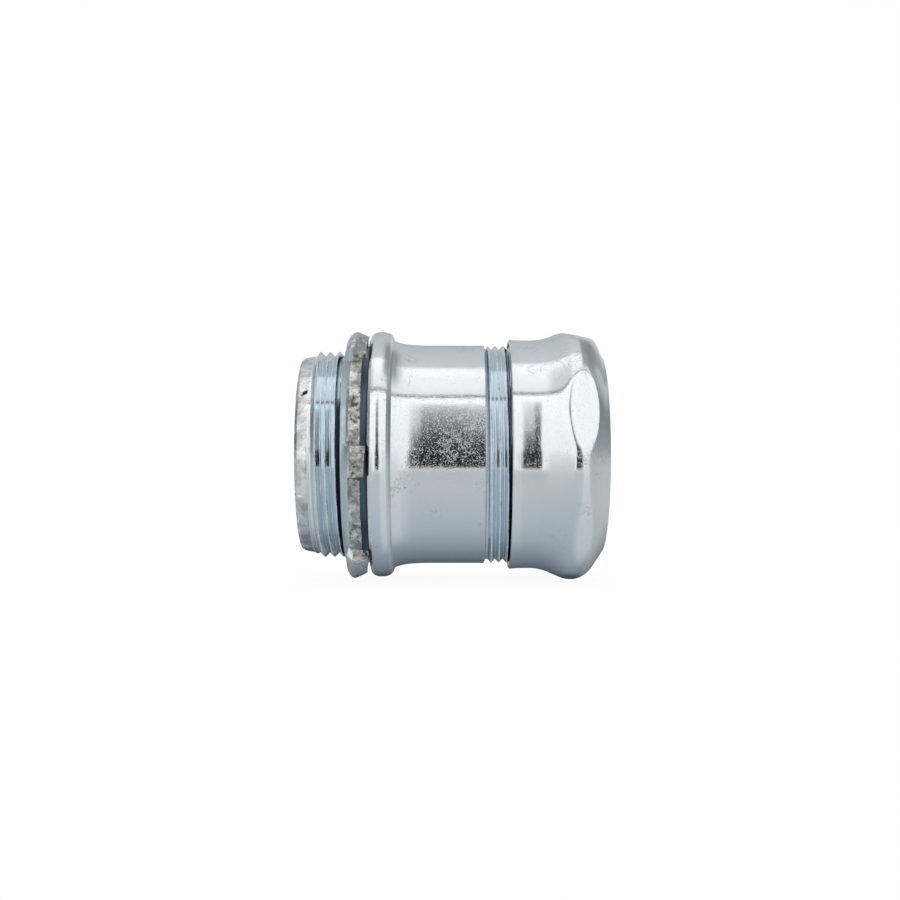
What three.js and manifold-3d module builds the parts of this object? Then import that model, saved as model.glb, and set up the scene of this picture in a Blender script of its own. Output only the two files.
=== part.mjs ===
// Steel compression connector for 1-1/2 in thin-wall conduit (EMT), lying on its side.
// Millimetres. The common axis is X: the male thread points to -X and the gland nut to +X.
// X = 0 is half way along the connector, and an angle is counted from the top (+Z) towards -Y.
import * as THREE from 'three';
import { mergeVertices } from 'three/addons/utils/BufferGeometryUtils.js';
import Module from 'manifold-3d';

// Conduit that the connector takes: 1-1/2 in EMT
const CONDUIT_OUTER_RADIUS = 22.1;
const CONDUIT_INNER_RADIUS = 20.45;
const SOCKET_RADIUS = CONDUIT_OUTER_RADIUS + 0.3;
const THROAT_RADIUS = CONDUIT_INNER_RADIUS + 0.05;

// Stations of the body along X
const LIP_END = -34.92;
const LIP_LENGTH = 2.85;
const SEAT_X = -18.75;
const CONDUIT_STOP_X = -12.5;
const BARREL_START = -6.4;
const BARREL_END = 7.4;
const BODY_END = 17.9;

// Radii of the body
const LIP_RADIUS = 23.0;
const RELIEF_RADIUS = 22.7;
const SEAT_INNER_RADIUS = 24.3;
const SEAT_MIDDLE_RADIUS = 26.1;
const SEAT_OUTER_RADIUS = 27.4;
const BEAD_RADIUS = 28.75;
const BARREL_RADIUS = 25.55;
const CONDUIT_STOP_RADIUS = 22.1;

// Threads, both right-handed. crestAtTop is where one crest crosses the top of the body.
const MALE_THREAD = {
  pitch: 25.4 / 11.5,
  root: 22.98,
  depth: 1.15,
  start: LIP_END + LIP_LENGTH,
  end: -20.9,
  runOut: 1.4,
  crestAtTop: -30.8,
};
const GLAND_THREAD = {
  pitch: 25.4 / 14,
  root: 24.6,
  depth: 0.85,
  start: BARREL_END + 0.4,
  end: BODY_END - 0.8,
  runOut: 0.5,
  crestAtTop: 8.2,
};
const ROWS_PER_PITCH = 4;
const THREAD_CLEARANCE = 0.3;

// Locknut: a dished ring with six lugs bent towards the shoulder. A lug's height over the rim and
// its bend are given at the back (-X) and at the front (+X) of the ring.
const LOCKNUT = {
  boreRadius: 24.5,
  rimRadius: 27.45,
  lugs: 6,
  lugAngle: 32.3,
  lugHalfWidth: 9.3,
  lugFlank: 1.6,
  lugHeight: [2.95, 1.85],
  lugBend: [0.5, 1.5],
  face: -24.87,
  thickness: 2.9,
  dish: 2.0,
};

// Gland nut: a plain skirt that swells into a rounded hexagon
const NUT = {
  start: 13.14,
  end: 34.92,
  skirtRadius: 26.75,
  boreRadius: GLAND_THREAD.root + GLAND_THREAD.depth + THREAD_CLEARANCE,
  holeRadius: SOCKET_RADIUS + 0.1,
  flats: 6,
  flatAngle: 10,
  flatX: 27.2,
  flatDistance: 28.5,
  flatSlope: 0.22,
  cornerBlend: 0.45,
};

// Split compression ring, bevelled at both ends
const RING = {
  start: 20.4,
  length: 8,
  boreRadius: CONDUIT_OUTER_RADIUS + 0.15,
  outerRadius: 24.9,
  tipRadius: 23.0,
  bevel: 2.4,
  gap: 3,
  gapAngle: 150,
};

const BODY_SEGMENTS = 48;
const NUT_SEGMENTS = 72;
const RING_SEGMENTS = 48;

const zincLight = { color: 0xb4bcc8, roughness: 0.32, metalness: 1 };
const zincBody = { color: 0x8f9dba, roughness: 0.34, metalness: 1 };
const zincLocknut = { color: 0xb9b4ad, roughness: 0.48, metalness: 1 };
const springSteel = { color: 0x9a9a98, roughness: 0.4, metalness: 1 };

function clamp(value, low, high) {
  return Math.min(Math.max(value, low), high);
}

// Turns a closed outline of [x, radius] points about the X axis. reshape moves a point of the
// turned surface: it takes x, radius and angle, and gives [x, radius, angle].
function turned(outline, segments, reshape) {
  const points = [...outline, outline[0]].map(([x, radius]) => new THREE.Vector2(radius, x));
  const geometry = new THREE.LatheGeometry(points, segments);
  const position = geometry.attributes.position;
  for (let i = 0; i < position.count; i += 1) {
    const radius = Math.hypot(position.getX(i), position.getZ(i));
    const angle = Math.atan2(position.getX(i), position.getZ(i));
    const [x, r, a] = reshape ? reshape(position.getY(i), radius, angle) : [position.getY(i), radius, angle];
    position.setXYZ(i, x, -r * Math.sin(a), r * Math.cos(a));
  }
  geometry.deleteAttribute('normal');
  geometry.deleteAttribute('uv');
  const welded = mergeVertices(geometry, 1e-5);
  welded.computeVertexNormals();
  return welded;
}

function rows(start, end, step, radius) {
  const count = Math.ceil((end - start) / step);
  const list = [];
  for (let i = 0; i <= count; i += 1) {
    list.push([start + ((end - start) * i) / count, radius]);
  }
  return list;
}

// How far a thread stands above its root at a point of the turned surface
function threadRise(thread, x, angle) {
  if (x < thread.start || x > thread.end) {
    return 0;
  }
  const turns = (x - thread.crestAtTop) / thread.pitch - angle / (2 * Math.PI);
  const fromCrest = Math.abs(turns - Math.round(turns));
  const profile = clamp((0.375 - fromCrest) / 0.25, 0, 1);
  const fade = clamp(Math.min(x - thread.start, thread.end - x) / thread.runOut, 0, 1);
  return thread.depth * profile * fade;
}

function bodyGeometry() {
  const outer = [
    [LIP_END, 22.1],
    [LIP_END + 0.35, 22.55],
    [LIP_END + 1.1, 22.85],
    [LIP_END + 2.1, LIP_RADIUS],
    ...rows(MALE_THREAD.start, MALE_THREAD.end, MALE_THREAD.pitch / ROWS_PER_PITCH, MALE_THREAD.root),
    [MALE_THREAD.end + 0.3, RELIEF_RADIUS],
    [SEAT_X - 0.4, RELIEF_RADIUS],
    [SEAT_X, SEAT_INNER_RADIUS],
    [SEAT_X, SEAT_MIDDLE_RADIUS],
    [SEAT_X, SEAT_OUTER_RADIUS],
    [SEAT_X + 0.35, 28.05],
    [SEAT_X + 0.9, 28.45],
    [SEAT_X + 1.8, BEAD_RADIUS],
    [SEAT_X + 2.8, BEAD_RADIUS],
    [SEAT_X + 3.7, 28.6],
    [SEAT_X + 4.3, 28.35],
    [SEAT_X + 4.8, 27.9],
    [SEAT_X + 5.15, 27.2],
    [SEAT_X + 5.3, 26.65],
    [SEAT_X + 6.6, 26.2],
    [SEAT_X + 9.0, 25.75],
    [BARREL_START, BARREL_RADIUS],
    [BARREL_END, BARREL_RADIUS],
    [BARREL_END + 0.3, GLAND_THREAD.root],
    ...rows(GLAND_THREAD.start, GLAND_THREAD.end, GLAND_THREAD.pitch / ROWS_PER_PITCH, GLAND_THREAD.root),
    [BODY_END - 0.3, GLAND_THREAD.root],
    [BODY_END, GLAND_THREAD.root - 0.3],
  ];
  const inner = [
    [BODY_END, 24.0],
    [BODY_END - 2, SOCKET_RADIUS],
    [CONDUIT_STOP_X + 0.3, SOCKET_RADIUS],
    [CONDUIT_STOP_X, CONDUIT_STOP_RADIUS],
    [CONDUIT_STOP_X, THROAT_RADIUS],
    [LIP_END + 2.4, THROAT_RADIUS],
    [LIP_END + 1.2, 20.65],
    [LIP_END + 0.4, 21.0],
    [LIP_END, 21.5],
  ];
  const skin = (MALE_THREAD.root + SOCKET_RADIUS) / 2;
  return turned([...outer, ...inner], BODY_SEGMENTS, (x, radius, angle) => {
    const rise = radius > skin ? threadRise(MALE_THREAD, x, angle) + threadRise(GLAND_THREAD, x, angle) : 0;
    return [x, radius + rise, angle];
  });
}

// Gathers the segments of one lug's share of the turn at the lug's two flanks
function lugWarp(angle) {
  const share = (2 * Math.PI) / LOCKNUT.lugs;
  const outer = LOCKNUT.lugHalfWidth;
  const inner = outer - LOCKNUT.lugFlank;
  const gathered = [0, inner / 2, inner, outer, outer + 1.7, 20, 30];
  const lug = Math.round(angle / share);
  const within = THREE.MathUtils.radToDeg(angle - lug * share);
  const steps = Math.abs(within) / 5;
  const step = clamp(Math.floor(steps), 0, gathered.length - 2);
  const moved = gathered[step] + (steps - step) * (gathered[step + 1] - gathered[step]);
  return lug * share + THREE.MathUtils.degToRad(moved) * Math.sign(within);
}

// 1 on a lug, 0 between lugs, for an angle counted from a lug's middle
function lugShape(angle) {
  const share = (2 * Math.PI) / LOCKNUT.lugs;
  const within = Math.abs(THREE.MathUtils.radToDeg(angle - Math.round(angle / share) * share));
  return clamp((LOCKNUT.lugHalfWidth - within) / LOCKNUT.lugFlank, 0, 1);
}

function locknutGeometry() {
  const { boreRadius, rimRadius, lugHeight, lugBend, face, thickness, dish } = LOCKNUT;
  const middle = (boreRadius + rimRadius) / 2;
  const outline = [
    [face, boreRadius + 0.4],
    [face, middle],
    [face, rimRadius - 0.35],
    [face + 0.35, rimRadius],
    [face + thickness / 2, rimRadius],
    [face + thickness - 0.35, rimRadius],
    [face + thickness, rimRadius - 0.35],
    [face + thickness, middle],
    [face + thickness, boreRadius + 0.4],
    [face + thickness - 0.4, boreRadius],
    [face + 0.4, boreRadius],
  ];
  const turn = THREE.MathUtils.degToRad(LOCKNUT.lugAngle);
  return turned(outline, NUT_SEGMENTS, (x, radius, angle) => {
    const warped = lugWarp(angle);
    const atRim = clamp((radius - middle) / (rimRadius - 0.35 - middle), 0, 1);
    const lug = lugShape(warped) * atRim;
    const across = (x - face) / thickness;
    const lean = (dish * (radius - boreRadius)) / (rimRadius - boreRadius);
    const bend = lug * THREE.MathUtils.lerp(lugBend[0], lugBend[1], across);
    const height = lug * THREE.MathUtils.lerp(lugHeight[0], lugHeight[1], across);
    return [x + lean + bend, radius + height, warped + turn];
  });
}

// Radius of the gland nut's outside before its flats are cut
const NUT_SWELL = [
  [18.4, 26.78],
  [20.0, 26.95],
  [21.4, 27.27],
  [22.8, 27.83],
  [24.2, 28.5],
  [25.4, 29.1],
  [26.5, 29.6],
  [27.8, 29.8],
  [29.0, 29.65],
  [30.2, 29.15],
  [31.3, 28.35],
  [32.3, 27.3],
  [33.1, 26.1],
  [33.8, 24.85],
  [34.5, 23.65],
];

// Six sloping flats meet the swell with a soft blend
function cutFlats(x, radius, angle) {
  const share = (2 * Math.PI) / NUT.flats;
  const turn = THREE.MathUtils.degToRad(NUT.flatAngle);
  const within = angle - turn - Math.round((angle - turn) / share) * share;
  const flat = (NUT.flatDistance - NUT.flatSlope * (x - NUT.flatX)) / Math.cos(within);
  const blend = Math.exp(-radius / NUT.cornerBlend + flat / NUT.cornerBlend);
  return flat - NUT.cornerBlend * Math.log(1 + blend);
}

function nutGeometry() {
  const { start, end, skirtRadius, boreRadius, holeRadius } = NUT;
  const coneStart = RING.start + RING.length - RING.bevel - 0.55;
  const coneEnd = coneStart + 3.85;
  const outline = [
    [start, boreRadius + 0.3],
    [start, skirtRadius - 0.3],
    [start + 0.3, skirtRadius],
    ...NUT_SWELL,
    [end, 22.95],
    [end, 22.75],
    [end - 0.4, holeRadius],
    [coneEnd, holeRadius],
    [coneStart, boreRadius],
    [start + 0.5, boreRadius],
  ];
  const swellStart = NUT_SWELL[0][0];
  return turned(outline, NUT_SEGMENTS, (x, radius, angle) => {
    const cut = radius > boreRadius + 0.5 && x > swellStart && x < end - 1;
    return [x, cut ? Math.min(radius, cutFlats(x, radius, angle)) : radius, angle];
  });
}

const wasm = await Module();
wasm.setup();

function toSolid(geometry) {
  const bare = geometry.clone();
  bare.deleteAttribute('normal');
  bare.deleteAttribute('uv');
  const whole = mergeVertices(bare, 1e-5);
  return new wasm.Manifold(new wasm.Mesh({
    numProp: 3,
    vertProperties: new Float32Array(whole.attributes.position.array),
    triVerts: new Uint32Array(whole.index.array),
  }));
}

function fromSolid(solid) {
  const mesh = solid.getMesh();
  const geometry = new THREE.BufferGeometry();
  geometry.setAttribute('position', new THREE.BufferAttribute(new Float32Array(mesh.vertProperties), 3));
  geometry.setIndex(new THREE.BufferAttribute(new Uint32Array(mesh.triVerts), 1));
  geometry.computeVertexNormals();
  return geometry;
}

function ringGeometry() {
  const { start, length, boreRadius, outerRadius, tipRadius, bevel, gap, gapAngle } = RING;
  const whole = turned([
    [start, boreRadius + 0.2],
    [start, tipRadius],
    [start + bevel, outerRadius],
    [start + length - bevel, outerRadius],
    [start + length, tipRadius],
    [start + length, boreRadius + 0.2],
    [start + length - 0.2, boreRadius],
    [start + 0.2, boreRadius],
  ], RING_SEGMENTS);
  const slot = new THREE.BoxGeometry(length + 2, gap, 8);
  slot.translate(start + length / 2, 0, boreRadius + 1);
  slot.rotateX(THREE.MathUtils.degToRad(gapAngle));
  return fromSolid(toSolid(whole).subtract(toSolid(slot)));
}

function part(name, geometry, look) {
  const mesh = new THREE.Mesh(geometry, new THREE.MeshStandardMaterial(look));
  mesh.name = name;
  return mesh;
}

const connector = new THREE.Group();
connector.name = 'conduit_compression_fitting';
connector.add(
  part('connector_body', bodyGeometry(), zincBody),
  part('locknut', locknutGeometry(), zincLocknut),
  part('compression_nut', nutGeometry(), zincLight),
  part('compression_ring', ringGeometry(), springSteel),
);

export default connector;
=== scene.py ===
import math
from itertools import product

import bpy
import numpy as np
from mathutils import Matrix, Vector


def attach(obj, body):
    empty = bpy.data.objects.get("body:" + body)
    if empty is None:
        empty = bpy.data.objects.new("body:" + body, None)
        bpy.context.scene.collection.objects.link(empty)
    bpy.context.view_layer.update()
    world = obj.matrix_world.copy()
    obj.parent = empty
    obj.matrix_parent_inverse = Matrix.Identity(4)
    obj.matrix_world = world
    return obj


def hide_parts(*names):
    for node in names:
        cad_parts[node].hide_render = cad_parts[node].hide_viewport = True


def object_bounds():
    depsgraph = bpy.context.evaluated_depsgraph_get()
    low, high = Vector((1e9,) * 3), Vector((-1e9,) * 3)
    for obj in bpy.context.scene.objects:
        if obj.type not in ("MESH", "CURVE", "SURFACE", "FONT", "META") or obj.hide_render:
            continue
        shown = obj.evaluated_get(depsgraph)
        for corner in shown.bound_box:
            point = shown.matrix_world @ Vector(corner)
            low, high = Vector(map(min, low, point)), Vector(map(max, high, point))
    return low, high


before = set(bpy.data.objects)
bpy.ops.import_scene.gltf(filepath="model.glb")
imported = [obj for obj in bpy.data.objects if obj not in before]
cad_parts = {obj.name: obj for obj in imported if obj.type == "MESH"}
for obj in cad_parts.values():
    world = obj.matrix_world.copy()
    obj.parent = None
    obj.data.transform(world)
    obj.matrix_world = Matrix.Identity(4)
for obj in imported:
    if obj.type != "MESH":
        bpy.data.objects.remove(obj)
cad_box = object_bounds()

# All shapes are worked out in millimetres in the CAD's frame: X along the common axis, the male
# thread at -X, the gland nut at +X. An angle is counted from the top (+Z) towards -Y.
MM = 0.001
TAU = 2 * math.pi
SHARP_EDGE = math.radians(35)

# Stations along X and radii that the pieces share
LIP_END = -34.92
MALE_START = -32.07
MALE_END = -20.9
SEAT_X = -18.75
BARREL_END = 7.4
BODY_END = 17.9
STOP_X = -12.5
SOCKET_RADIUS = 22.4
THROAT_RADIUS = 20.5
RELIEF_RADIUS = 22.7
BARREL_RADIUS = 25.55
LIP_OUTSIDE = 22.2
MALE_ROOT = 22.98
GLAND_ROOT = 24.6
OPEN_TURNS_END = -24

# How many steps each piece takes round the axis
BODY_SEGMENTS = 320
LOCKNUT_SEGMENTS = 540
NUT_SEGMENTS = 360
RING_SEGMENTS = 240

# Both threads: pitch and radii in mm, the X of a crest on top, and the flat as a share of the pitch
INCH = 25.4
MALE_THREAD = {"pitch": INCH / 11.5, "root": MALE_ROOT, "crest": 24.13, "top_crest": -30.8, "flat": 0.03}
GLAND_THREAD = {"pitch": INCH / 14, "root": GLAND_ROOT, "crest": 25.45, "top_crest": 8.2, "flat": 0.069}


# ---------------------------------------------------------------- shape helpers

def smoothstep(low, high, value):
    part = np.clip((value - low) / (high - low), 0, 1)
    return part * part * (3 - 2 * part)


def curve_through(points, per_span):
    """Catmull-Rom curve through [x, radius] points, with per_span steps between neighbours."""
    p = np.array(points, float)
    p = np.vstack([2 * p[0] - p[1], p, 2 * p[-1] - p[-2]])
    out = []
    for i in range(1, len(p) - 2):
        for k in range(per_span):
            t = k / per_span
            a, b, c, d = p[i - 1], p[i], p[i + 1], p[i + 2]
            out.append(0.5 * (2 * b + (c - a) * t + (2 * a - 5 * b + 4 * c - d) * t * t
                              + (3 * b - a - 3 * c + d) * t ** 3))
    out.append(p[-2])
    return [tuple(q) for q in out]


def straight(start, end, count):
    """count + 1 points from start to end, both of them included."""
    a, b = np.array(start, float), np.array(end, float)
    return [tuple(a + (b - a) * i / count) for i in range(count + 1)]


LUMP_TABLE = 4096
LUMP_PRIMES = (73856093, 19349663, 83492791)


def lumps(points, size, seed):
    """Smooth random values from -1 to 1 at the points, in lumps about size millimetres wide."""
    table = np.random.default_rng(seed).uniform(-1, 1, LUMP_TABLE)
    q = points / size
    cell = np.floor(q).astype(np.int64)
    part = q - cell
    part = part * part * (3 - 2 * part)
    total = np.zeros(q.shape[:-1])
    for corner in product((0, 1), repeat=3):
        c = (cell + np.array(corner)) * np.array(LUMP_PRIMES)
        key = (c[..., 0] ^ c[..., 1] ^ c[..., 2]) % LUMP_TABLE
        weight = np.prod(np.where(np.array(corner) == 1, part, 1 - part), axis=-1)
        total += weight * table[key]
    return total


def place(x, radius, angle):
    """Points in millimetres for stations, radii and angles."""
    return np.stack([x, -radius * np.sin(angle), radius * np.cos(angle)], axis=-1)


def add_piece(name, points, faces):
    """A smooth-shaded object from points in millimetres and faces, with its real edges kept sharp."""
    mesh = bpy.data.meshes.new(name)
    mesh.from_pydata((points * MM).tolist(), [], faces)
    mesh.validate()
    mesh.shade_smooth()
    mesh.set_sharp_from_angle(angle=SHARP_EDGE)
    piece = bpy.data.objects.new(name, mesh)
    bpy.context.scene.collection.objects.link(piece)
    return piece


def swept_points(outline, angle, reshape):
    """Points of the outline at each angle, row by row. reshape(x, radius, angle) moves them."""
    outline = np.array(outline, float)
    x, a = np.meshgrid(outline[:, 0], angle, indexing="ij")
    r, _ = np.meshgrid(outline[:, 1], angle, indexing="ij")
    return place(*reshape(x, r, a)).reshape(-1, 3)


def turned(name, outline, segments, reshape):
    """A closed outline of (x, radius) turned about X into a full ring."""
    rows = len(outline)
    points = swept_points(outline, np.arange(segments) * TAU / segments, reshape)
    i, j = np.meshgrid(np.arange(rows), np.arange(segments), indexing="ij")
    row, next_row = i * segments, (i + 1) % rows * segments
    next_j = (j + 1) % segments
    faces = np.stack([row + j, row + next_j, next_row + next_j, next_row + j], axis=-1).reshape(-1, 4)
    p = points[faces]
    volume = np.einsum("ij,ij->i", p[:, 0], np.cross(p[:, 1], p[:, 2])).sum()
    volume += np.einsum("ij,ij->i", p[:, 0], np.cross(p[:, 2], p[:, 3])).sum()
    if volume < 0:
        faces = faces[:, ::-1]
    return add_piece(name, points, faces.tolist())


def split_turned(name, outline, segments, reshape):
    """Like turned, but open at the seam and closed there by two flat ends."""
    rows = len(outline)
    points = swept_points(outline, np.arange(segments + 1) * TAU / segments, reshape)
    wide = segments + 1
    faces = []
    for i in range(rows):
        k = (i + 1) % rows
        for j in range(segments):
            faces.append([i * wide + j, k * wide + j, k * wide + j + 1, i * wide + j + 1])
    faces.append([i * wide for i in range(rows)][::-1])
    faces.append([i * wide + segments for i in range(rows)])
    return add_piece(name, points, faces)


def thread_rise(thread, x, angle, start, end, run_out):
    """How far a right-handed V thread stands above its root."""
    turns = (x - thread["top_crest"]) / thread["pitch"] - angle / TAU
    from_crest = np.abs(turns - np.round(turns)) * 2
    wave = np.clip((1 - thread["flat"] - from_crest) / (1 - 2 * thread["flat"]), 0, 1)
    fade = np.clip(np.minimum(x - start, end - x) / run_out, 0, 1)
    inside = (x > start) & (x < end)
    return (thread["crest"] - thread["root"]) * wave * np.where(inside, fade, 0)


# ---------------------------------------------------------------- pieces

def make_body():
    lip = curve_through([(LIP_END, 21.9), (LIP_END + 0.16, 22.3), (LIP_END + 0.6, 22.65),
                         (LIP_END + 1.3, 22.88), (LIP_END + 2.2, 22.97), (MALE_START, 22.99)], 5)
    male = straight((MALE_START, MALE_ROOT), (MALE_END, MALE_ROOT), 72)
    bead = curve_through([(SEAT_X, 27.4), (SEAT_X + 0.14, 27.8), (SEAT_X + 0.5, 28.22),
                          (SEAT_X + 1.1, 28.55), (SEAT_X + 1.9, 28.7), (SEAT_X + 2.8, 28.7),
                          (SEAT_X + 3.7, 28.53), (SEAT_X + 4.3, 28.28), (SEAT_X + 4.75, 27.92),
                          (SEAT_X + 5.05, 27.4), (SEAT_X + 5.2, 26.95), (SEAT_X + 5.3, 26.62)], 5)
    flare = curve_through([(SEAT_X + 5.3, 26.62), (SEAT_X + 6.3, 26.24), (SEAT_X + 7.6, 25.93),
                           (SEAT_X + 9.4, 25.7), (SEAT_X + 11.6, 25.58),
                           (SEAT_X + 13.4, BARREL_RADIUS)], 5)
    outline = (
        lip[:-1] + male
        + [(MALE_END + 0.3, RELIEF_RADIUS)]
        + straight((SEAT_X - 0.4, RELIEF_RADIUS), (SEAT_X, 24.3), 2)
        + straight((SEAT_X, 25.1), (SEAT_X, 27.4), 3)[:-1]
        + bead[:-1] + flare[:-1]
        + straight((SEAT_X + 13.4, BARREL_RADIUS), (BARREL_END - 0.3, BARREL_RADIUS), 8)
        + [(BARREL_END - 0.12, BARREL_RADIUS), (BARREL_END, 25.45), (BARREL_END + 0.3, 24.65)]
        + straight((BARREL_END + 0.4, GLAND_ROOT), (BODY_END - 0.8, GLAND_ROOT), 60)
        + [(BODY_END - 0.3, 24.5), (BODY_END, 24.25), (BODY_END, 24.0), (BODY_END - 2, SOCKET_RADIUS)]
        + straight((BODY_END - 3, SOCKET_RADIUS), (STOP_X + 0.3, SOCKET_RADIUS), 6)
        + [(STOP_X, 22.1), (STOP_X, THROAT_RADIUS)]
        + straight((STOP_X - 1, THROAT_RADIUS), (LIP_END + 2.6, THROAT_RADIUS), 6)
        + curve_through([(LIP_END + 2.2, 20.52), (LIP_END + 1.3, 20.65), (LIP_END + 0.6, 20.92),
                         (LIP_END + 0.16, 21.25), (LIP_END, 21.6)], 4)
    )

    def reshape(x, r, a):
        lip_share = np.where(r > LIP_OUTSIDE, 1 - smoothstep(LIP_END + 1.2, MALE_START, x), 0)
        r = r - lip_share * lip_dents(x, a)
        male_rise = thread_rise(MALE_THREAD, x, a, MALE_START, MALE_END, 1.2)
        gland_rise = thread_rise(GLAND_THREAD, x, a, BARREL_END + 0.4, BODY_END - 0.8, 0.5)
        return x, r + np.where(r > RELIEF_RADIUS, male_rise + gland_rise, 0), a

    return turned("visual_connector_body", outline, BODY_SEGMENTS, reshape)


LIP_FLATS = 38

# One deep nick on the lip: where it is (X and angle), how far it reaches each way, and its depth
NICK_X = -32.9
NICK_ANGLE = math.radians(52.5)
NICK_HALF_LENGTH = 0.75
NICK_HALF_ANGLE = math.radians(1.5)
NICK_DEPTH = 0.5


def lip_dents(x, angle):
    """Shallow flats and nicks that the rolling tool left round the lip."""
    turn = angle / TAU * LIP_FLATS
    number = np.floor(turn).astype(int) % LIP_FLATS
    rng = np.random.default_rng(7)
    depth = rng.uniform(0.02, 0.3, LIP_FLATS)[number]
    across = np.abs(turn - np.floor(turn) - 0.5) * 2
    flat = depth * (1 - across ** 2)
    nick = rng.uniform(0, 0.3, LIP_FLATS)[number] * np.exp(-((1 - across) / 0.12) ** 2)
    from_nick = np.maximum(np.abs(x - NICK_X) / NICK_HALF_LENGTH,
                           np.abs(angle - NICK_ANGLE) / NICK_HALF_ANGLE)
    deep = np.clip(1.5 - from_nick, 0, 0.5) * 2
    return flat + nick + NICK_DEPTH * deep


LUGS = 6
LUG_ANGLE = 32.3
LOCKNUT_FACE = -24.87
LOCKNUT_THICKNESS = 2.9
LOCKNUT_DISH = 2.0
LOCKNUT_BORE = 24.5
LOCKNUT_RIM = 27.45

# Every lug was sheared and bent a little differently: its turn and half its width, in degrees
LUG_OFFSETS = (-1.9, 0.7, -1.6, 0.5, -0.9, 0.9)
LUG_HALF_WIDTHS = (8.5, 7.6, 9.3, 8.0, 8.6, 7.8)
LUG_HEIGHTS = (3.1, 2.8, 3.05, 2.85, 2.8, 2.9)
# How far a lug is bent towards the shoulder at its back, how much more at its front and how much
# less from one side to the other, and how far its sheared root bulges out of the dished face
LUG_BEND = 0.6
LUG_BEND_MORE = 0.78
LUG_SLANT = 0.28
LUG_BULGE = 2.2
# The top of a lug is highest this far through its thickness
LUG_RIDGE = 0.25
# Heights above and below the axis where the sheared edge turns from rough and cream mottled to smooth:
# partly smoother metal, partly painted light on the lugs that face up and down
TOP_BOTTOM_FROM = 22.5
TOP_BOTTOM_FULL = 25.0


def make_locknut():
    rim, bore = LOCKNUT_RIM, LOCKNUT_BORE
    back, front = 0.0, LOCKNUT_THICKNESS
    outline = (
        straight((back, bore + 0.4), (back, rim - 0.3), 12)
        + [(back + 0.1, rim - 0.1), (back + 0.25, rim)]
        + straight((back + 0.4, rim), (front - 0.4, rim), 16)
        + [(front - 0.25, rim), (front - 0.1, rim - 0.1)]
        + straight((front, rim - 0.3), (front, bore + 0.4), 12)
        + [(front - 0.4, bore), (front / 2, bore), (back + 0.4, bore)]
    )
    share = TAU / LUGS

    def reshape(x, r, a):
        # Which lug, how far round from its middle in degrees, and how far through its thickness
        lug_number = np.round(a / share).astype(int) % LUGS
        within = np.degrees(a - np.round(a / share) * share) - np.array(LUG_OFFSETS)[lug_number]
        half_width = np.array(LUG_HALF_WIDTHS)[lug_number]
        across = x / front
        rising = smoothstep(rim - 1.5, rim - 0.2, r)
        side = 1 - smoothstep(half_width - 1.1, half_width + 0.4, np.abs(within))
        lug = side * rising
        lean = LOCKNUT_DISH * (r - bore) / (rim - bore)
        slant = LUG_SLANT * (1 + np.clip(within / 8, -1, 1))
        bend = lug ** 2 * (LUG_BEND + LUG_BEND_MORE * across - slant)
        bend = bend - side * LUG_BULGE * rising * (1 - rising) * np.clip(1 - across / 0.3, 0, 1)
        from_ridge = across - LUG_RIDGE
        ridge = np.where(from_ridge < 0, -0.8 * from_ridge, 1.7 * from_ridge)
        rounded = np.minimum(0.3 * (np.abs(within) / half_width) ** 4, 0.45)
        height = lug * (np.array(LUG_HEIGHTS)[lug_number] - ridge - rounded)
        moved = LOCKNUT_FACE + x + lean + bend
        grown = r + height
        angle = a + math.radians(LUG_ANGLE)

        # The sheared edge is rough, pitted and chipped
        spot = place(moved, grown, angle)
        edge = smoothstep(rim - 0.5, rim, r)
        chipped = smoothstep(0.72, 1.0, np.abs(across - 0.5) * 2)
        rough = 0.06 * lumps(spot, size=1.9, seed=3) + 0.04 * lumps(spot, size=0.8, seed=4)
        pits = 0.2 * smoothstep(0.42, 0.75, lumps(spot, size=0.85, seed=5))
        chips = 0.14 * chipped * smoothstep(0.0, 0.6, lumps(spot, size=1.3, seed=8))
        grown = grown + edge * (rough - pits - chips - 0.1)
        moved = moved + edge * 0.07 * lumps(spot, size=1.7, seed=6)
        return moved, grown, angle

    return turned("visual_locknut", outline, LOCKNUT_SEGMENTS, reshape)


NUT_START = 13.14
NUT_END = 34.92
NUT_BORE = 25.75
NUT_MOUTH = 22.5
NUT_ASKEW = 0.3
NUT_FLATS = 6
NUT_FLAT_ANGLE = math.radians(10)
# A flat's distance from the axis at one station, how fast it falls along X, and how far it can
# reach round the axis, in radians
NUT_FLAT_X = 27.2
NUT_FLAT_RADIUS = 28.42
NUT_FLAT_FALL = 0.22
NUT_FLAT_REACH = 0.9
# The flats were pressed a little unevenly. For each of them: how much nearer the axis it lies, its
# turn in degrees, and how widely it blends into the swell.
NUT_FLAT_CUTS = (0.2, 0.0, -0.4, -0.05, 0.1, 0.0)
NUT_FLAT_TURNS = (-5.0, -0.8, 0.0, -0.9, -1.2, 1.0)
NUT_FLAT_BLENDS = (0.25, 0.22, 1.1, 0.5, 0.3, 0.4)


def cut_flats(x, r, a):
    """Six sloping flats, softly blended into the round swell of the gland nut."""
    share = TAU / NUT_FLATS
    for number in range(NUT_FLATS):
        blend = NUT_FLAT_BLENDS[number] + 0.3 * (1 - smoothstep(25.2, 28.6, x))
        centre = NUT_FLAT_ANGLE + number * share + math.radians(NUT_FLAT_TURNS[number])
        within = np.mod(a - centre + math.pi, TAU) - math.pi
        level = NUT_FLAT_RADIUS - NUT_FLAT_FALL * (x - NUT_FLAT_X) - NUT_FLAT_CUTS[number]
        flat = level / np.cos(np.clip(within, -1, 1))
        flat = np.where(np.abs(within) < NUT_FLAT_REACH, flat, np.inf)
        r = r - blend * np.log1p(np.exp((r - flat) / blend))
    return r


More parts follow.
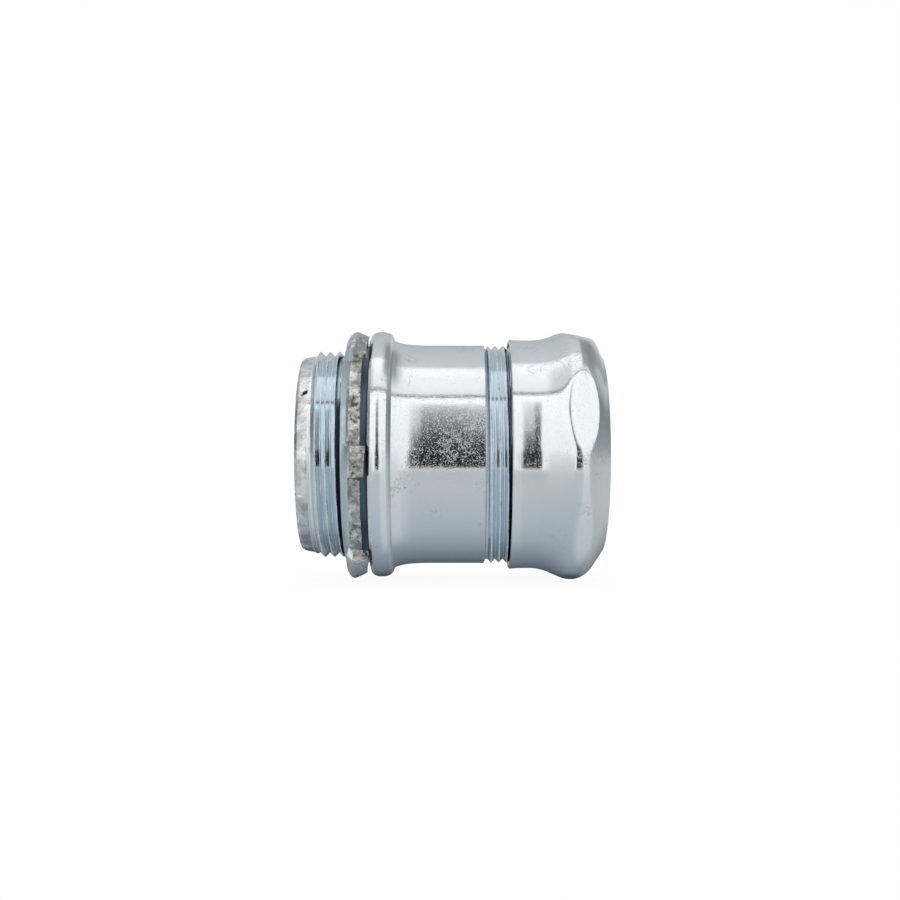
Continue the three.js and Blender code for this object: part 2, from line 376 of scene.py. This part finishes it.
def make_nut():
    swell = curve_through([
        (NUT_START + 0.3, 26.92), (NUT_START + 1.2, 26.84), (NUT_START + 2.4, 26.76),
        (NUT_START + 4, 26.74), (18.6, 26.76), (20.0, 26.9), (21.4, 27.22), (22.8, 27.76),
        (24.2, 28.45), (25.2, 29.0), (25.9, 29.38), (26.6, 29.6), (27.3, 29.67), (28.0, 29.69),
        (28.7, 29.63), (29.5, 29.38), (30.5, 28.82), (31.5, 28.05), (32.3, 27.2),
        (33.0, 26.2), (33.65, 25.05), (34.2, 24.02), (34.65, 23.25), (NUT_END, 22.9),
    ], 6)
    outline = (
        [(NUT_START, 26.1), (NUT_START, 26.55), (NUT_START + 0.1, 26.8)]
        + swell
        + [(NUT_END, 22.75), (NUT_END - 0.15, 22.6), (NUT_END - 0.4, NUT_MOUTH)]
        + straight((NUT_END - 1, NUT_MOUTH), (29.3, NUT_MOUTH), 4)
        + [(25.45, NUT_BORE)]
        + straight((24.5, NUT_BORE), (NUT_START + 0.8, NUT_BORE), 6)
        + [(NUT_START + 0.3, 25.85)]
    )

    def reshape(x, r, a):
        # The flats cut only the outside, and only past the plain skirt
        outer = (r > 22.9) & (x > 17) & (x < NUT_END - 0.05)
        cut = np.minimum(r, cut_flats(x, r, a))
        share = smoothstep(18, 20, x) * (1 - smoothstep(NUT_END - 1.6, NUT_END - 0.3, x))
        askew = NUT_ASKEW * np.cos(a) * smoothstep(18.5, 21, x) * (1 - smoothstep(33, 34.4, x))
        return x + np.where(outer, askew, 0), np.where(outer, r + (cut - r) * share, r), a

    return turned("visual_compression_nut", outline, NUT_SEGMENTS, reshape)


RING_START = 20.4
RING_END = 28.4
RING_BORE = 22.25
RING_NOSE = 22.9
RING_RIM = 24.9
RING_BEVEL = 2.4
RING_GAP = math.radians(8)
RING_GAP_MIDDLE = math.radians(150)


def make_ring():
    start, end, bore = RING_START, RING_END, RING_BORE
    nose, rim, bevel = RING_NOSE, RING_RIM, RING_BEVEL
    outline = (
        [(start, bore + 0.2), (start, nose), (start + 0.1, nose + 0.15), (start + bevel, rim)]
        + straight((start + bevel + 0.4, rim), (end - bevel - 0.4, rim), 3)
        + [(end - bevel, rim), (end - 0.1, nose + 0.15), (end, nose)]
        + [(end, bore + 0.2), (end - 0.2, bore)]
        + straight((end - 1, bore), (start + 1, bore), 4)
        + [(start + 0.2, bore)]
    )

    def reshape(x, r, a):
        return x, r, RING_GAP_MIDDLE + RING_GAP / 2 + a / TAU * (TAU - RING_GAP)

    return split_turned("visual_compression_ring", outline, RING_SEGMENTS, reshape)


# ---------------------------------------------------------------- material helpers

class Nodes:
    """Short calls for adding and joining shader nodes."""

    def __init__(self, tree):
        self.tree = tree
        self.tree.nodes.clear()

    def add(self, kind, inputs=None, **settings):
        node = self.tree.nodes.new(kind)
        for key, value in settings.items():
            setattr(node, key, value)
        for key, value in (inputs or {}).items():
            if isinstance(value, bpy.types.NodeSocket):
                self.tree.links.new(value, node.inputs[key])
            else:
                node.inputs[key].default_value = value
        return node

    def math(self, operation, a, b=0.0):
        return self.add("ShaderNodeMath", {0: a, 1: b}, operation=operation).outputs[0]

    def plus(self, a, b):
        return self.math("ADD", a, b)

    def minus(self, a, b):
        return self.math("SUBTRACT", a, b)

    def times(self, a, b):
        return self.math("MULTIPLY", a, b)

    def inverse(self, value):
        return self.minus(1.0, value)

    def below(self, value, limit):
        return self.math("LESS_THAN", value, limit)

    def above(self, value, limit):
        return self.math("GREATER_THAN", value, limit)

    def step(self, value, low, high):
        """0 at low, 1 at high, and a straight line between."""
        node = self.add("ShaderNodeMapRange", {"Value": value, "From Min": low, "From Max": high})
        return node.outputs[0]

    def split(self, vector):
        """The X, Y and Z of a vector."""
        return self.add("ShaderNodeSeparateXYZ", {0: vector}).outputs

    def ramp(self, value, stops):
        """Colours or greys at the stops, with straight lines between."""
        node = self.add("ShaderNodeValToRGB", {"Fac": value})
        elements = node.color_ramp.elements
        while len(elements) < len(stops):
            elements.new(0.5)
        for element, (position, colour) in zip(elements, stops):
            red_green_blue = colour if isinstance(colour, tuple) else (colour,) * 3
            element.position = position
            element.color = (*red_green_blue, 1)
        return node.outputs["Color"]

    def mix(self, factor, a, b, blend="MIX"):
        node = self.add("ShaderNodeMix", data_type="RGBA", blend_type=blend)
        for socket, value in ((node.inputs[0], factor), (node.inputs[6], a), (node.inputs[7], b)):
            if isinstance(value, bpy.types.NodeSocket):
                self.tree.links.new(value, socket)
            else:
                socket.default_value = (*value, 1) if isinstance(value, tuple) else value
        return node.outputs[2]

    def noise(self, where, scale, detail=2.0, rough=0.5, warp=0.0):
        node = self.add("ShaderNodeTexNoise", {"Vector": where, "Scale": scale, "Detail": detail,
                                              "Roughness": rough, "Distortion": warp})
        return node.outputs["Fac"]

    def surface(self, shader):
        """Ends a material or a world with this shader."""
        kind = "ShaderNodeOutputWorld" if shader.type == "BACKGROUND" else "ShaderNodeOutputMaterial"
        self.tree.links.new(shader.outputs[0], self.add(kind).inputs["Surface"])


def new_material(name):
    material = bpy.data.materials.new(name)
    material.use_nodes = True
    return material, Nodes(material.node_tree)


def metal(n, where, colour, rough, bump, depth):
    """Ends a material as bumpy metal, with painted shade in narrow gaps. depth is the height of the bump
    in metres.
    """
    normal = n.add("ShaderNodeBump", {"Height": bump, "Strength": 1.0, "Distance": depth})
    n.surface(n.add("ShaderNodeBsdfPrincipled", {
        "Base Color": crevice_shade(n, where, colour), "Metallic": 1.0, "Roughness": rough,
        "Normal": normal.outputs[0],
    }))


def polar(n, where):
    """Distance along X, distance from the axis, and angle from the top towards -Y."""
    x, y, z = n.split(where)
    radius = n.math("SQRT", n.plus(n.times(y, y), n.times(z, z)))
    angle = n.math("ARCTAN2", n.times(y, -1.0), z)
    return x, radius, angle


def thread_top(n, where):
    """The upper side of the open turns of the male thread, where light falls from above."""
    x, _, z = n.split(where)
    return n.times(n.step(z, 10 * MM, 13 * MM), n.below(x, OPEN_TURNS_END * MM))


# The painted shade starts and is full this many turns after the thread's first crest
SHADE_STARTS = 2.13
SHADE_FULL = 2.22


def thread_gap_shade(n, where, colour, rough):
    """Painted shade: dull dark navy colour on the turns of the male thread under the locknut and behind
    it, where the gap lies in shade.
    """
    along, radius, angle = polar(n, where)
    from_crest = n.minus(along, MALE_THREAD["top_crest"] * MM)
    turns = n.minus(n.math("DIVIDE", from_crest, MALE_THREAD["pitch"] * MM),
                    n.math("FLOORED_MODULO", n.math("DIVIDE", angle, TAU), 1.0))
    painted_shade = n.times(n.step(turns, SHADE_STARTS, SHADE_FULL), n.below(along, (SEAT_X + 0.05) * MM))
    painted_shade = n.times(painted_shade, n.times(n.above(radius, (RELIEF_RADIUS - 0.1) * MM),
                                 n.below(radius, (MALE_THREAD["crest"] + 0.1) * MM)))
    # The painted shade is mostly taken off the upper open turns, where light falls from above
    painted_shade = n.times(painted_shade, n.inverse(n.times(thread_top(n, where), 0.9)))
    rough = n.plus(n.times(rough, n.inverse(painted_shade)), n.times(painted_shade, 0.5))
    return n.mix(painted_shade, colour, (0.3, 0.38, 0.46)), rough


def lip_scuffs(n, where, colour, rough):
    """Scuffed grey plating on the rolled lip."""
    lip = n.below(n.split(where)[0], MALE_START * MM)
    scuffs = n.ramp(n.noise(where, 300, 3, 0.6), [
        (0.38, (0.5, 0.51, 0.52)), (0.62, (0.95, 0.95, 0.94)),
    ])
    return n.mix(lip, colour, scuffs), n.plus(rough, n.times(lip, 0.12))


def nick_shade(n, where, colour):
    """Painted shade: near-black colour in the deep nick on the lip."""
    along, _, angle = polar(n, where)
    beside = n.math("ABSOLUTE", n.minus(along, NICK_X * MM))
    around = n.math("ABSOLUTE", n.minus(angle, NICK_ANGLE))
    inside = n.times(n.step(beside, NICK_HALF_LENGTH * MM, NICK_HALF_LENGTH * 0.7 * MM),
                     n.step(around, NICK_HALF_ANGLE, NICK_HALF_ANGLE * 0.7))
    return n.mix(inside, colour, (0.04, 0.045, 0.05))


def crevice_shade(n, where, colour):
    """Painted shade: darkens the colour in narrow gaps, where light does not reach; less on the upper
    open turns of the male thread, where light falls.
    """
    open_share = n.add("ShaderNodeAmbientOcclusion", {"Distance": 0.003}, samples=6).outputs["AO"]
    shade = n.ramp(open_share, [(0.1, (0.11, 0.14, 0.17)), (0.3, (0.3, 0.35, 0.41)),
                                (0.48, (0.84, 0.86, 0.89)), (0.58, 1.0)])
    return n.mix(n.inverse(n.times(thread_top(n, where), 0.8)), colour, shade, "MULTIPLY")


def thread_finish(n, where, low_x, high_x, thread, colour, bump, rough):
    """One thread: bluer flanks, partly the blue plating and partly a painted tint of light bouncing
    between them, worn pale crests and pale roots, smoother than the barrel.
    """
    along, radius, _ = polar(n, where)
    cut = n.times(n.above(along, low_x * MM), n.below(along, high_x * MM))
    cut = n.times(cut, n.above(radius, (thread["root"] - 0.15) * MM))
    height = n.step(radius, thread["root"] * MM, thread["crest"] * MM)
    wear = n.times(n.minus(n.noise(where, 1200, 2, 0.6), 0.5), 0.35)
    worn = n.times(cut, n.step(n.plus(height, wear), 0.84, 0.95))
    groove = n.times(cut, n.step(height, 0.11, 0.05))
    # Bluer flanks: partly the plating, partly a painted tint of light bouncing between the flanks
    colour = n.mix(cut, colour, (0.7, 0.8, 0.86))
    colour = n.mix(groove, colour, (0.95, 0.9, 0.94))
    colour = n.mix(worn, colour, (0.97, 0.96, 0.91))
    bump = n.times(bump, n.inverse(n.times(cut, 0.85)))
    rough = n.plus(n.times(rough, n.inverse(cut)), n.times(cut, 0.05))
    rough = n.plus(rough, n.plus(n.times(worn, 0.55), n.times(groove, 0.35)))
    return colour, bump, rough


def hairlines(n, where):
    """Curved hairline marks in patches, and a few specks."""
    lines = n.math("ABSOLUTE", n.minus(n.noise(where, 330, 4, 0.6, 1.2), 0.5))
    lines = n.ramp(lines, [(0.004, 1.0), (0.012, 0.0)])
    patches = n.ramp(n.noise(where, 130, 2, 0.5), [(0.55, 0.0), (0.64, 1.0)])
    specks = n.ramp(n.noise(where, 1300, 2, 0.6), [(0.71, 0.0), (0.76, 1.0)])
    sparse = n.ramp(n.noise(where, 170, 2, 0.5), [(0.5, 0.0), (0.6, 1.0)])
    return n.math("MAXIMUM", n.times(lines, patches), n.times(specks, sparse))


def plating(name, tint, shade, threads=(), roughness=0.08, grain=1.0, dirt=0.5):
    """Zinc plating: a tinted mirror with sparkling grain, cloudy colour, hairline marks and specks."""
    material, n = new_material(name)
    where = n.add("ShaderNodeTexCoord").outputs["Object"]

    clouds = n.noise(where, 90, 3, 0.55, 0.6)
    colour = n.mix(n.ramp(clouds, [(0.35, 0.0), (0.65, 1.0)]), tint, shade)
    marks = n.times(hairlines(n, where), dirt)
    colour = n.mix(marks, colour, (0.3, 0.27, 0.24))

    fine = n.noise(where, 2600, 1, 0.5)
    spots = n.ramp(n.noise(where, 4400, 2, 0.6), [(0.61, 0.0), (0.735, 1.0)])
    coarse = n.noise(where, 420, 2, 0.5)
    bump = n.plus(n.times(fine, 0.11), n.times(coarse, 0.12))
    bump = n.plus(bump, n.times(spots, 0.26))
    bump = n.minus(bump, n.times(marks, 0.4))
    rough = n.plus(n.times(n.noise(where, 900, 2, 0.5), 0.08), roughness - 0.04)
    rough = n.plus(rough, n.times(marks, 0.3))

    for low_x, high_x, thread in threads:
        colour, bump, rough = thread_finish(n, where, low_x, high_x, thread, colour, bump, rough)
    if threads:
        colour, rough = thread_gap_shade(n, where, colour, rough)
        colour, rough = lip_scuffs(n, where, colour, rough)
        colour = nick_shade(n, where, colour)
    metal(n, where, colour, rough, bump, depth=0.00009 * grain)
    return material


def sheared_edge(n, where):
    """The locknut's rim and the outside of its lugs, but not its dished faces."""
    along, radius, _ = polar(n, where)
    at_rim = n.step(radius, (LOCKNUT_RIM - 0.45) * MM, (LOCKNUT_RIM - 0.2) * MM)
    outward = n.math("DIVIDE", n.minus(radius, LOCKNUT_BORE * MM), (LOCKNUT_RIM - LOCKNUT_BORE) * MM)
    outward = n.math("MINIMUM", outward, 1.22)
    back = n.plus(n.times(outward, LOCKNUT_DISH * MM), LOCKNUT_FACE * MM)
    return n.times(at_rim, n.step(n.minus(along, back), 0.1 * MM, 0.3 * MM))


def rough_edge_plating(name):
    """The locknut: plated like the rest, but warm, grey and pitted on its sheared edge; the warm cream
    partly stands for front light, a painted highlight.
    """
    material, n = new_material(name)
    where = n.add("ShaderNodeTexCoord").outputs["Object"]
    edge = sheared_edge(n, where)
    smooth_colour = n.mix(n.ramp(n.noise(where, 120, 3), [(0.35, 0.0), (0.65, 1.0)]),
                          (0.6, 0.65, 0.68), (0.68, 0.72, 0.74))
    mottled = n.ramp(n.noise(where, 420, 4, 0.7), [
        (0.37, (0.27, 0.26, 0.245)), (0.49, (0.52, 0.51, 0.485)), (0.62, (0.93, 0.925, 0.9)),
    ])
    clusters = n.ramp(n.noise(where, 120, 2, 0.5), [(0.48, 0.0), (0.6, 1.0)])
    specks = n.ramp(n.noise(where, 950, 3, 0.7), [(0.5, 0.0), (0.6, 1.0)])
    specks = n.times(n.times(specks, clusters), edge)
    mottled = n.mix(specks, mottled, (0.13, 0.11, 0.09))

    # The lugs at the top and the bottom lose most of the mottled edge: partly smoother metal, partly
    # painted light, as the cream of the edge stands for front light that these lugs, facing up and down,
    # do not take
    height = n.math("ABSOLUTE", n.split(where)[2])
    top_bottom_lugs = n.times(n.step(height, TOP_BOTTOM_FROM * MM, TOP_BOTTOM_FULL * MM), 0.8)
    edge = n.times(edge, n.inverse(top_bottom_lugs))
    colour = n.mix(edge, smooth_colour, mottled)

    bump = n.plus(n.noise(where, 650, 4, 0.65), n.times(n.noise(where, 2200, 2), 0.35))
    bump = n.minus(bump, n.times(specks, 0.6))
    bump = n.times(bump, n.plus(0.2, n.times(edge, 0.8)))
    rough = n.plus(n.times(edge, 0.2), n.times(n.noise(where, 800, 3), 0.25))
    rough = n.plus(rough, 0.1)
    metal(n, where, colour, rough, bump, depth=0.00016)
    return material


# ---------------------------------------------------------------- build

def finish_piece(piece, node, body, material):
    piece.data.materials.append(material)
    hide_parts(node)
    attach(piece, body)


body_plating = plating(
    "body_zinc", (0.82, 0.845, 0.86), (0.8, 0.835, 0.865),
    threads=((MALE_START + 0.8, MALE_END + 0.2, MALE_THREAD),
             (BARREL_END + 0.1, BODY_END, GLAND_THREAD)),
)
nut_plating = plating("nut_zinc", (0.83, 0.85, 0.86), (0.81, 0.84, 0.86), grain=0.75, dirt=0.38)
ring_plating = plating("ring_zinc", (0.62, 0.62, 0.61), (0.55, 0.55, 0.54), roughness=0.34)
locknut_plating = rough_edge_plating("locknut_zinc")

finish_piece(make_body(), "connector_body", "body", body_plating)
finish_piece(make_locknut(), "locknut", "locknut", locknut_plating)
finish_piece(make_nut(), "compression_nut", "gland_nut", nut_plating)
finish_piece(make_ring(), "compression_ring", "gland_ring", ring_plating)


# ---------------------------------------------------------------- studio

# In metres
FLOOR_GAP = 0.00005
FLOOR_HALF_WIDTH = 30.0


def make_floor():
    mesh = bpy.data.meshes.new("floor")
    low = cad_box[0][2] - FLOOR_GAP
    half = FLOOR_HALF_WIDTH
    corners = [(-half, -half, low), (half, -half, low), (half, half, low), (-half, half, low)]
    mesh.from_pydata(corners, [], [(0, 1, 2, 3)])
    floor = bpy.data.objects.new("floor", mesh)
    bpy.context.scene.collection.objects.link(floor)
    floor.visible_glossy = False
    floor.visible_diffuse = False
    material, n = new_material("pale_floor")
    # Painted shadow: the glowing floor is a little darker where the object stands close above it
    shade = n.add("ShaderNodeAmbientOcclusion", {"Distance": 0.02}, samples=8).outputs["AO"]
    colour = n.ramp(shade, [(0.0, 0.95), (0.8, 1.0)])
    n.surface(n.add("ShaderNodeEmission", {"Color": colour, "Strength": 1.0}))
    mesh.materials.append(material)


# Light in the studio by fold angle in degrees: 0 straight ahead, 90 overhead, -90 below.
# The white tent, the slot of shadow in its roof and the grey table under it
TENT = [
    (-180, (0.06, 0.07, 0.08)), (-145, (0.13, 0.16, 0.19)), (-125, (0.22, 0.26, 0.3)),
    (-110, (0.29, 0.34, 0.39)), (-95, (0.38, 0.43, 0.47)), (-80, (0.44, 0.5, 0.55)),
    (-60, (0.49, 0.54, 0.58)), (-35, (0.54, 0.58, 0.61)), (-17, (0.54, 0.57, 0.59)),
    (-14, (1.0, 1.02, 1.04)), (20, (1.04, 1.06, 1.08)), (52, (1.15, 1.16, 1.16)),
    (60, (1.25, 1.26, 1.26)), (60.8, 0.2), (62.6, 0.2), (65, (0.95, 0.97, 0.98)),
    (85, (1.12, 1.13, 1.13)), (96, (1.2, 1.21, 1.21)), (100.5, (1.1, 1.12, 1.13)),
    (103, (0.66, 0.69, 0.71)), (130, (0.59, 0.62, 0.64)), (150, (0.52, 0.56, 0.58)),
    (180, (0.4, 0.43, 0.45)),
]
# The dark gap in the tent's front, and the same gap where its right side lets more light in
GAP = [
    (-14.5, 1.0), (-13.5, 0.02), (8, 0.03), (20, 0.07), (30, 0.17), (40, 0.3), (47, 0.42),
    (51, 0.6), (55, 1.0),
]
GAP_FROM_RIGHT = [
    (-14.5, 1.0), (-13.5, 0.02), (0, 0.03), (8, 0.08), (17, 0.25), (26, 0.5), (34, 0.62),
    (45, 0.72), (52, 0.85), (56, 1.0),
]
# The far ends of the studio, which only steep surfaces mirror
FAR_ENDS = [
    (-180, 0.1), (-115, (0.34, 0.37, 0.38)), (-90, (0.48, 0.52, 0.53)),
    (-60, (0.53, 0.57, 0.59)), (-12, (0.52, 0.56, 0.58)), (-4, (0.45, 0.48, 0.5)),
    (3, (0.345, 0.37, 0.39)), (25, (0.26, 0.29, 0.31)), (40, (0.22, 0.25, 0.27)),
    (53, (0.25, 0.28, 0.3)), (65, (0.38, 0.42, 0.44)), (78, (0.49, 0.53, 0.55)),
    (93, (0.54, 0.58, 0.6)), (98, (0.34, 0.37, 0.38)), (120, (0.38, 0.41, 0.42)),
    (140, (0.6, 0.62, 0.62)), (180, (0.55, 0.57, 0.57)),
]
# The table's front edge, blurred
SOFT_EDGE = [
    (-30, (0.56, 0.6, 0.62)), (-20, (0.62, 0.65, 0.67)), (-10, (0.71, 0.74, 0.76)),
    (-1, (0.87, 0.89, 0.91)), (6, (1.03, 1.05, 1.06)),
]


def studio_light(n):
    """Colour of the light that comes from each direction."""
    x, y, z = n.split(n.add("ShaderNodeTexCoord").outputs["Generated"])
    # A piece turned about X and seen from -Y mirrors the same fold angle at one height, whatever
    # its slope along X, so lights laid out by fold angle line up across all the pieces.
    half_turn = n.math("ARCTAN2", z, n.inverse(y))
    share = n.plus(n.math("DIVIDE", half_turn, math.pi), 0.5)
    # Tangent of the slope along X of the surface that mirrors this direction
    lean = n.math("DIVIDE", n.times(x, n.math("COSINE", half_turn)),
                  n.math("MAXIMUM", n.inverse(y), 0.001))
    steep = n.math("ABSOLUTE", lean)

    def by_fold(stops):
        return n.ramp(share, [(degrees / 360 + 0.5, value) for degrees, value in stops])

    # The gap is a narrow slot in front, a little wider near the table, with white tent beside it
    tent = by_fold(TENT)
    gap = n.mix(n.step(x, 0.018, 0.045), by_fold(GAP), by_fold(GAP_FROM_RIGHT))
    front = n.mix(1.0, tent, gap, "MULTIPLY")
    wider = by_fold([(1, 0.05), (6, 0.0)])
    beside = n.step(n.minus(n.math("ABSOLUTE", x), wider), 0.08, 0.17)

    # The table's edge is sharp where level surfaces mirror it, and blurred where sloping ones do
    near_table = by_fold([(-33, 0.0), (-30, 1.0), (5, 1.0), (10, 0.0)])
    softened = n.times(near_table, n.step(steep, 0.12, 0.28))
    colour = n.mix(beside, front, n.mix(softened, tent, by_fold(SOFT_EDGE)))

    # Light kept off the slopes that face left and up, and added to those that face right and down
    shaded = n.times(n.step(lean, -0.15, -0.35), by_fold([(58, 0.0), (64, 0.3), (84, 0.3), (95, 0.05)]))
    colour = n.mix(shaded, colour, (0.1, 0.1, 0.1))
    lit = by_fold([(-110, 0.0), (-90, 0.3), (-16, 0.36), (-4, 0.42), (6, 0.0)])
    colour = n.mix(n.times(n.step(lean, 0.04, 0.2), lit), colour, (0.98, 1.0, 0.98))
    colour = n.mix(n.step(steep, 0.51, 0.6), colour, by_fold(FAR_ENDS))

    # A dark corner of the roof on the right
    corner = by_fold([(66, 0.05), (74, 0.3), (80, 0.6), (89, 0.88), (122, 0.88), (140, 0.0)])
    corner = n.times(n.times(n.step(lean, 0.1, 0.3), n.step(lean, 1.2, 0.8)), corner)
    return n.mix(corner, colour, (0.25, 0.28, 0.29))


def make_world():
    """A soft studio: white tent, a dark gap where the camera stands, and a grey table below."""
    world = bpy.data.worlds.new("studio")
    bpy.context.scene.world = world
    world.use_nodes = True
    n = Nodes(world.node_tree)
    seen = n.add("ShaderNodeLightPath").outputs["Is Camera Ray"]
    colour = n.mix(seen, studio_light(n), (1.0, 1.0, 1.0))
    n.surface(n.add("ShaderNodeBackground", {"Color": colour, "Strength": 1.0}))


# Level, looking along +Y from 340 mm away
CAMERA_PLACE = (-0.5 * MM, -340 * MM, 1.0 * MM)
CAMERA_LENS = 57.67


def make_camera():
    data = bpy.data.cameras.new("camera")
    data.sensor_width = 36
    data.lens = CAMERA_LENS
    camera = bpy.data.objects.new("camera", data)
    camera.location = CAMERA_PLACE
    camera.rotation_euler = (math.pi / 2, 0, 0)
    data.clip_start = 0.01
    data.clip_end = 100
    bpy.context.scene.collection.objects.link(camera)
    bpy.context.scene.camera = camera


make_floor()
make_world()
make_camera()
bpy.context.scene.view_settings.view_transform = "Standard"
bpy.context.scene.view_settings.look = "None"
